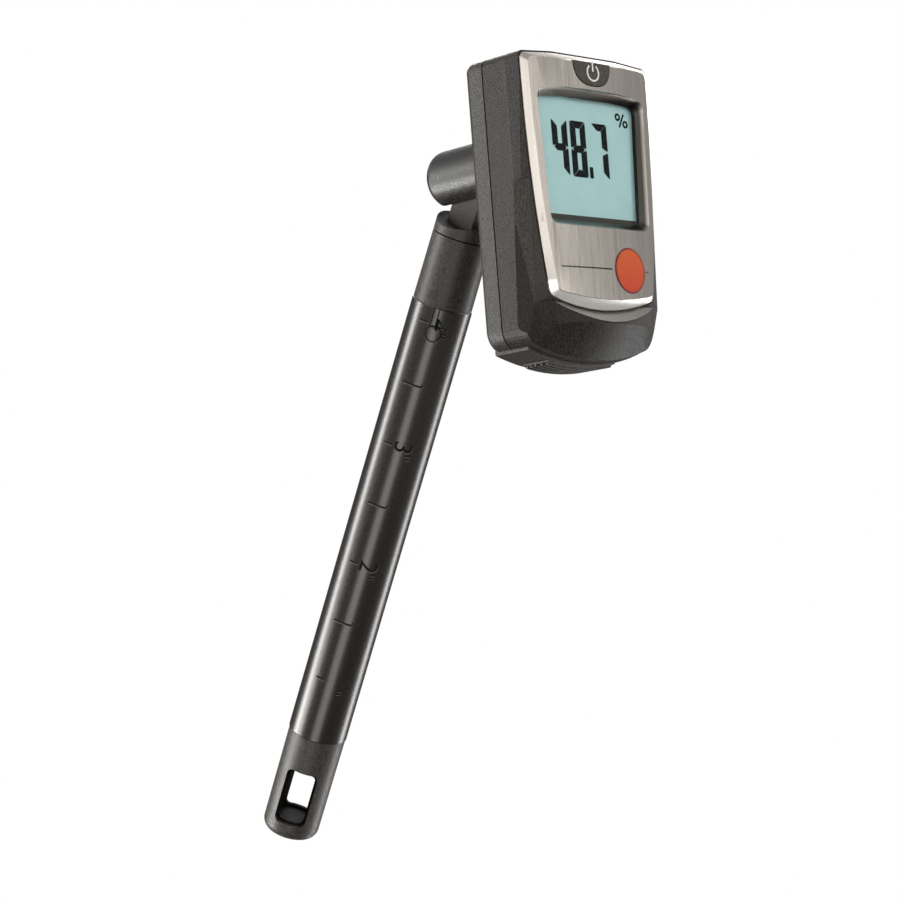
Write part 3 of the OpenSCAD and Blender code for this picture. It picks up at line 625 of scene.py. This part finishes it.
def head_matrix(x, y, z):
    """Places a flat piece, drawn facing up, on the head at x, y, z in millimetres, facing front."""
    return HEAD @ Matrix.Translation((x * MM, y * MM, z * MM)) @ Matrix.Rotation(math.pi / 2, 4, "X")


def settle(obj, name):
    """Applies a piece's place to its mesh and names it."""
    bpy.ops.object.select_all(action="DESELECT")
    obj.select_set(True)
    bpy.context.view_layer.objects.active = obj
    bpy.ops.object.transform_apply(location=True, rotation=True, scale=True)
    obj.name = name
    obj.data.name = name
    return obj


def pick(obj, test):
    """In edit mode, selects the points for which test is true."""
    bpy.ops.mesh.select_mode(type="VERT")
    bpy.ops.mesh.select_all(action="DESELECT")
    bm = bmesh.from_edit_mesh(obj.data)
    for v in bm.verts:
        v.select = bool(test(v.co))
    bm.select_flush_mode()
    bmesh.update_edit_mesh(obj.data)


def joined(pieces, name):
    """Joins pieces into one object."""
    bpy.ops.object.select_all(action="DESELECT")
    for piece in pieces:
        piece.select_set(True)
    bpy.context.view_layer.objects.active = pieces[0]
    if len(pieces) > 1:
        bpy.ops.object.join()
    pieces[0].name = name
    pieces[0].data.name = name
    return pieces[0]


# %% One bar of a digit
BAR_THICK = 0.03
BLUNT = 0.22                     # the small cut at a bar's outer corners
POINTED = 0.49                   # the cut that makes a point, as a share of the bar's width


def bar(length, width, matrix, left=0.0, right=0.0, point=False):
    """A flat bar along X. left and right shorten its lower side there, point sharpens both ends."""
    bpy.ops.object.select_all(action="DESELECT")
    bpy.ops.mesh.primitive_plane_add(size=1)
    obj = bpy.context.object
    obj.data.transform(Matrix.Diagonal((length * MM, width * MM, 1, 1)))
    bpy.ops.object.mode_set(mode="EDIT")
    for side, cut in ((-1, left), (1, right)):
        if cut:
            pick(obj, lambda co: co.y < 0 and co.x * side > 0)
            bpy.ops.transform.translate(value=(-side * cut * MM, 0, 0))
    if left or right:
        pick(obj, lambda co: co.y > 0)
        bpy.ops.mesh.bevel(offset=BLUNT * MM, affect="VERTICES")
    if point:
        pick(obj, lambda co: True)
        bpy.ops.mesh.bevel(offset=width * POINTED * MM, affect="VERTICES")
    bpy.ops.mesh.select_all(action="SELECT")
    bpy.ops.mesh.extrude_region_move(TRANSFORM_OT_translate={"value": (0, 0, BAR_THICK * MM)})
    bpy.ops.mesh.select_all(action="SELECT")
    bpy.ops.mesh.normals_make_consistent(inside=False)
    bpy.ops.object.mode_set(mode="OBJECT")
    obj.matrix_world = matrix
    return settle(obj, "bar")


# %% The bars of a digit
DIGIT_W, DIGIT_H, DIGIT_LOW = 4.1, 10.4, -6.6
UPRIGHT_W, LEVEL_W, BAR_GAP = 1.5, 1.35, 0.1
DARK_BARS = {"4": "bcfg", "8": "abcdefg", "7": "abc"}


def digit(character, x, z):
    """The dark bars of one digit whose lower left corner is at x, z on the display."""
    tall = DIGIT_H / 2 - BAR_GAP
    wide = DIGIT_W - BAR_GAP
    left, right = UPRIGHT_W / 2, DIGIT_W - UPRIGHT_W / 2
    low, high, end, half = DIGIT_H / 4, DIGIT_H * 3 / 4, LEVEL_W, LEVEL_W / 2
    # each bar: its middle across and up, turn, length, width, cut at its left and right ends
    shapes = {
        "a": (DIGIT_W / 2, DIGIT_H - half, 0, wide, LEVEL_W, UPRIGHT_W, UPRIGHT_W),
        "d": (DIGIT_W / 2, half, 180, wide, LEVEL_W, UPRIGHT_W, UPRIGHT_W),
        "f": (left, high, 90, tall, UPRIGHT_W, half, end),
        "e": (left, low, 90, tall, UPRIGHT_W, end, half),
        "b": (right, high, -90, tall, UPRIGHT_W, end, half),
        "c": (right, low, -90, tall, UPRIGHT_W, half, end),
        "g": (DIGIT_W / 2, DIGIT_H / 2, 0, wide - UPRIGHT_W * 0.55, LEVEL_W, 0, 0)}
    bars = []
    for key in DARK_BARS[character]:
        across, up, angle, length, width, cut_left, cut_right = shapes[key]
        at = head_matrix(x + across, Y_INK, z + up) @ Matrix.Rotation(math.radians(angle), 4, "Z")
        bars.append(bar(length, width, at, cut_left, cut_right, point=key == "g"))
    return bars


# %% Digits and the decimal point
PARALLAX = 1.27                  # the display lies deep, so the photograph shows it this far to the left
DIGITS_AT = (("4", -9.75), ("8", -4.85), ("7", 1.0))
POINT_X, POINT_W, POINT_H = 0.2, 0.95, 2.1

ink = plain("lcd_ink", rgb(8, 10, 12), 0.6, gloss=0.05)
bars = []
for character, left in DIGITS_AT:
    bars += digit(character, left + PARALLAX, DIGIT_LOW)
bars.append(bar(POINT_W, POINT_H, head_matrix(POINT_X + PARALLAX, Y_INK, DIGIT_LOW + POINT_H / 2)))
lcd_digits = joined(bars, "lcd_digits")
lcd_digits.data.materials.append(ink)
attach(lcd_digits, "head")
print("digit faces", len(lcd_digits.data.polygons))

# %% Painted shadow at the display's foot
SHADOW_SHEET_W, SHADOW_SHEET_H, SHADOW_SHEET_Z = 25.2, 1.8, -14.7

# painted shadow: a grey sheet on the glass where the recess's lower wall casts shade
recess_shadow_sheet = joined([bar(SHADOW_SHEET_W, SHADOW_SHEET_H, head_matrix(0, Y_LCD - 0.02, SHADOW_SHEET_Z))], "lcd_painted_shadow")
recess_shadow_sheet.data.materials.append(plain("painted_recess_shadow", rgb(62, 61, 55), 0.6, gloss=0.1))
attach(recess_shadow_sheet, "head")
print("border faces", len(recess_shadow_sheet.data.polygons))

# %% [markdown]
# The display's percent sign and the key's mark are both made of flat rings and bars. A ring could
# be a torus or a curve with thickness, but both have round sides. Here a small upright square is
# spun round a centre, all the way or with a gap at the top, which gives flat sides and sharp ends.


# %% Ring
RING_STEPS = 28


def open_ring(radius, width, matrix, gap=0.0, depth=0.04):
    """A flat ring, with a gap at the top if gap is given in degrees, made by spinning a square."""
    bpy.ops.object.select_all(action="DESELECT")
    bpy.ops.mesh.primitive_plane_add(size=1)
    ring = bpy.context.object
    out = Matrix.Translation((radius * MM, 0, 0)) @ Matrix.Rotation(math.pi / 2, 4, "X")
    size = Matrix.Diagonal((width * MM, depth * MM, 1, 1))
    ring.data.transform(Matrix.Rotation(math.radians(90 - gap / 2), 4, "Z") @ out @ size)
    bpy.ops.object.mode_set(mode="EDIT")
    bpy.ops.mesh.select_all(action="SELECT")
    bpy.ops.mesh.spin(steps=RING_STEPS, angle=math.radians(360 - gap), center=(0, 0, 0), axis=(0, 0, 1))
    bm = bmesh.from_edit_mesh(ring.data)
    if not gap:
        # a full turn leaves the first square inside the ring, at its top
        start = [f for f in bm.faces if all(abs(v.co.x) < 1e-6 and v.co.y > 0 for v in f.verts)]
        bmesh.ops.delete(bm, geom=start, context="FACES")
    bpy.ops.mesh.select_all(action="SELECT")
    bpy.ops.mesh.remove_doubles(threshold=1e-7)
    bm = bmesh.from_edit_mesh(ring.data)
    ends = [e for e in bm.edges if e.is_boundary]
    bpy.ops.mesh.select_all(action="DESELECT")
    for e in ends:
        e.select = True
    bmesh.update_edit_mesh(ring.data)
    if ends:
        bpy.ops.mesh.edge_face_add()
    bpy.ops.mesh.select_all(action="SELECT")
    bpy.ops.mesh.normals_make_consistent(inside=False)
    bpy.ops.object.mode_set(mode="OBJECT")
    ring.matrix_world = matrix
    return settle(ring, "ring")


# %% Percent sign
PERCENT_X, PERCENT_Z = 9.55, 5.0
DOT_R, DOT_W, DOTS_AT = 0.52, 0.42, ((-1.0, 0.62), (1.0, -0.62))
STROKE_L, STROKE_W, STROKE_SLANT = 2.9, 0.4, math.radians(62)

percent_at = head_matrix(PERCENT_X + PARALLAX, Y_INK, PERCENT_Z)
dots = [open_ring(DOT_R, DOT_W, percent_at @ Matrix.Translation((x * MM, y * MM, 0))) for x, y in DOTS_AT]
stroke = bar(STROKE_L, STROKE_W, percent_at @ Matrix.Rotation(STROKE_SLANT, 4, "Z"))
percent = joined(dots + [stroke], "lcd_percent")
percent.data.materials.append(ink)
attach(percent, "head")
print("percent faces", len(percent.data.polygons))

# %% [markdown]
# The key carries the common sign for power: a ring with a gap at its top and a stem in the gap. It
# is printed on the key in white. It could be part of the key's material, but a thin piece of its
# own keeps its edges crisp from close by.

# %% Mark on the key
KEY_FRONT = Y_FACE - 0.15
MARK_Z, MARK_R, MARK_W, MARK_GAP = 12.2, 1.5, 0.34, 70
STEM_L, STEM_W, STEM_UP = 1.9, 0.36, 1.15

mark_at = head_matrix(0, KEY_FRONT - 0.02, MARK_Z)
stem_at = mark_at @ Matrix.Translation((0, STEM_UP * MM, 0)) @ Matrix.Rotation(math.pi / 2, 4, "Z")
broken_ring = open_ring(MARK_R, MARK_W, mark_at, gap=MARK_GAP)
key_mark = joined([broken_ring, bar(STEM_L, STEM_W, stem_at)], "key_mark")
key_mark.data.materials.append(plain("mark_white", rgb(214, 210, 202), 0.5))
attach(key_mark, "key")
print("key mark faces", len(key_mark.data.polygons))

# %% [markdown]
# ## The scale on the shaft
# The scale has a mark each half inch, and a number at each whole inch. They are moulded marks that
# stand out by a hair, dark, with a painted highlight along one edge. They could be a pattern in the
# sleeve's material, but numbers are hard to draw with nodes. So each one is drawn flat and then
# wrapped round the sleeve: a flat distance to the side becomes an angle, and thickness becomes
# distance from the axis. The painted highlight is a paler and lower copy, a little to one side.

# %% Helpers for the scale
SHAFT_R = 6.0 * MM
MARK_CENTRE = 136                # the scale's middle, in degrees round the shaft


def wrap(obj):
    """Wraps a flat piece round the sleeve. Its X runs round the shaft, its Y up the shaft."""
    for v in obj.data.vertices:
        angle = -math.radians(MARK_CENTRE) + v.co.x / SHAFT_R
        r = SHAFT_R + v.co.z
        v.co = Vector((r * math.cos(angle), r * math.sin(angle), v.co.y))
    return obj


def numeral(body, size, x, z, high):
    """A number, drawn flat with its top to the right, at x and z in millimetres."""
    bpy.ops.object.select_all(action="DESELECT")
    bpy.ops.object.text_add()
    text = bpy.context.object
    text.data.body = body
    text.data.size = size * MM
    text.data.extrude = high * MM
    text.data.align_x = "CENTER"
    text.data.align_y = "CENTER"
    text.data.resolution_u = 6
    bpy.ops.object.convert(target="MESH")
    text = bpy.context.object
    text.matrix_world = Matrix.Translation((x * MM, z * MM, 0)) @ Matrix.Rotation(-math.pi / 2, 4, "Z")
    return settle(text, "numeral")


def dash(x0, x1, z, width, high):
    """A straight raised mark from x0 to x1, in millimetres round the shaft."""
    bpy.ops.object.select_all(action="DESELECT")
    bpy.ops.mesh.primitive_grid_add(x_subdivisions=14, y_subdivisions=1, size=1)
    line = bpy.context.object
    line.data.transform(Matrix.Translation(((x0 + x1) / 2 * MM, z * MM, high * MM)) @ Matrix.Diagonal(
        ((x1 - x0) * MM, width * MM, 1, 1)))
    bpy.ops.object.mode_set(mode="EDIT")
    bpy.ops.mesh.select_all(action="SELECT")
    bpy.ops.mesh.extrude_region_move(TRANSFORM_OT_translate={"value": (0, 0, -2 * high * MM)})
    bpy.ops.mesh.select_all(action="SELECT")
    bpy.ops.mesh.normals_make_consistent(inside=False)
    bpy.ops.object.mode_set(mode="OBJECT")
    return line


# %% All marks of the scale
INCH = 25.4
MARKS = 7                        # one each half inch, counted from the lowest
LOWEST_Z = PIVOT_Z / MM - 106.4
RAISED = 0.04
HIGHLIGHT_SHIFT = (0.07, -0.13)
# where a straight mark starts and ends round the shaft, from the scale's middle
HALF_MARK, HALF_HOOK, INCH_MARK, TICK = (-3.35, 0.75), (0.55, 0.8), (-3.55, -1.75), (1.45, 2.3)
MARK_LINE, HOOK_LINE, TICK_LINE = 0.32, 0.5, 0.28
HOOK_UP, TICKS_UP = 0.35, (-1.55, -2.15)
NUMBER_SIZE, NUMBER_X = 5.2, 0.35
LATCH_X, LATCH_HALF, LATCH_Z, LATCH_H = (-1.11, -0.14), 0.1, 44.6, 3.6
GATE_X, GATE_Z, GATE_R, GATE_LINE = -0.1, 41.3, 1.5, 0.2


def relief(high, dx=0.0, dz=0.0):
    """All marks of the scale at one height, moved by dx and dz millimetres."""
    flat = []

    def straight(span, z, width):
        flat.append(dash(span[0] + dx, span[1] + dx, z + dz, width, high))

    for step in range(MARKS):
        z = LOWEST_Z + step * INCH / 2
        if step % 2:
            straight(HALF_MARK, z, MARK_LINE)
            straight(HALF_HOOK, z + HOOK_UP, HOOK_LINE)
        else:
            straight(INCH_MARK, z, MARK_LINE)
            flat.append(numeral(str(step // 2 + 1), NUMBER_SIZE, NUMBER_X + dx, z + dz, high))
            for up in TICKS_UP:
                straight(TICK, z + up, TICK_LINE)
    for x in LATCH_X:
        straight((x - LATCH_HALF, x + LATCH_HALF), LATCH_Z, LATCH_H)
    gate = Matrix.Translation(((GATE_X + dx) * MM, (GATE_Z + dz) * MM, 0))
    flat.append(open_ring(GATE_R, GATE_LINE, gate, depth=2 * high))
    return [wrap(piece) for piece in flat]


scale_marks = joined(relief(RAISED), "scale_marks")
# painted highlight: a paler, lower copy of the marks, a little to one side
scale_edge_highlights = joined(relief(RAISED * 0.6, *HIGHLIGHT_SHIFT), "scale_edge_highlights")
for piece, finish in ((scale_marks, plain("scale_relief", rgb(9, 8, 8), 0.75, gloss=0.15)),
                      (scale_edge_highlights, plain("scale_painted_highlight", rgb(98, 93, 86), 0.6, gloss=0.3))):
    piece.data.materials.append(finish)
    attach(piece, "shaft")
    print(piece.name, len(piece.data.polygons), "faces")
